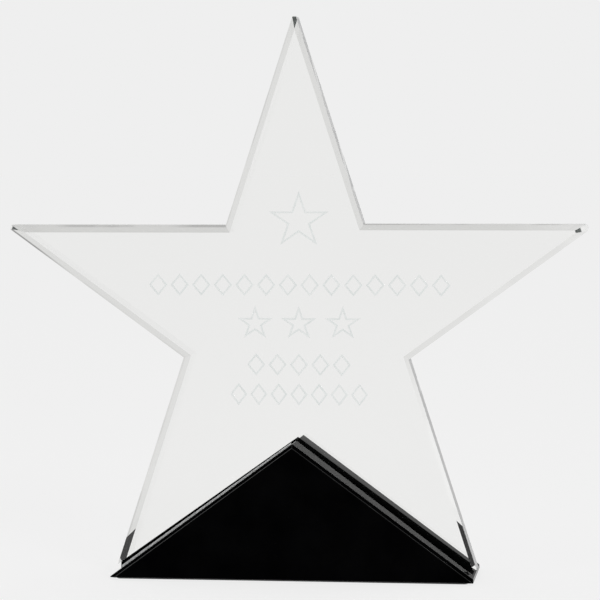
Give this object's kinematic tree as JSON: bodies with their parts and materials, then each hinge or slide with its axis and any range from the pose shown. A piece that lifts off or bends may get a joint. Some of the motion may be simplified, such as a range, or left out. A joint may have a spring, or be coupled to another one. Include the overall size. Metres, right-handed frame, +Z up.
{
  "type": "crystal star award",
  "caption": "Free-standing award: a clear bevelled crystal star plate bonded astride a black crystal block of triangular section, with engraved star outlines.",
  "frame": {"origin": "centre of the overall footprint, on the surface that the award rests on", "axes": "+Z up; +X along the star's width, to the right as seen from the front; -Y is the bevelled front face, through which the engraving in the back face is read"},
  "size_m": [0.2038, 0.038, 0.1963],
  "materials": {
    "clear_crystal": "polished, with frosted engraving",
    "black_crystal": "polished opaque black",
    "bond_adhesive": "cured adhesive, reads black against the block",
    "pad_felt": "thin black felt"
  },
  "bodies": {
    "root": {"star_plate": "clear_crystal", "base_block": "black_crystal", "adhesive_film_left": "bond_adhesive", "adhesive_film_right": "bond_adhesive", "base_pad": "pad_felt"}
  },
  "joints": []
}
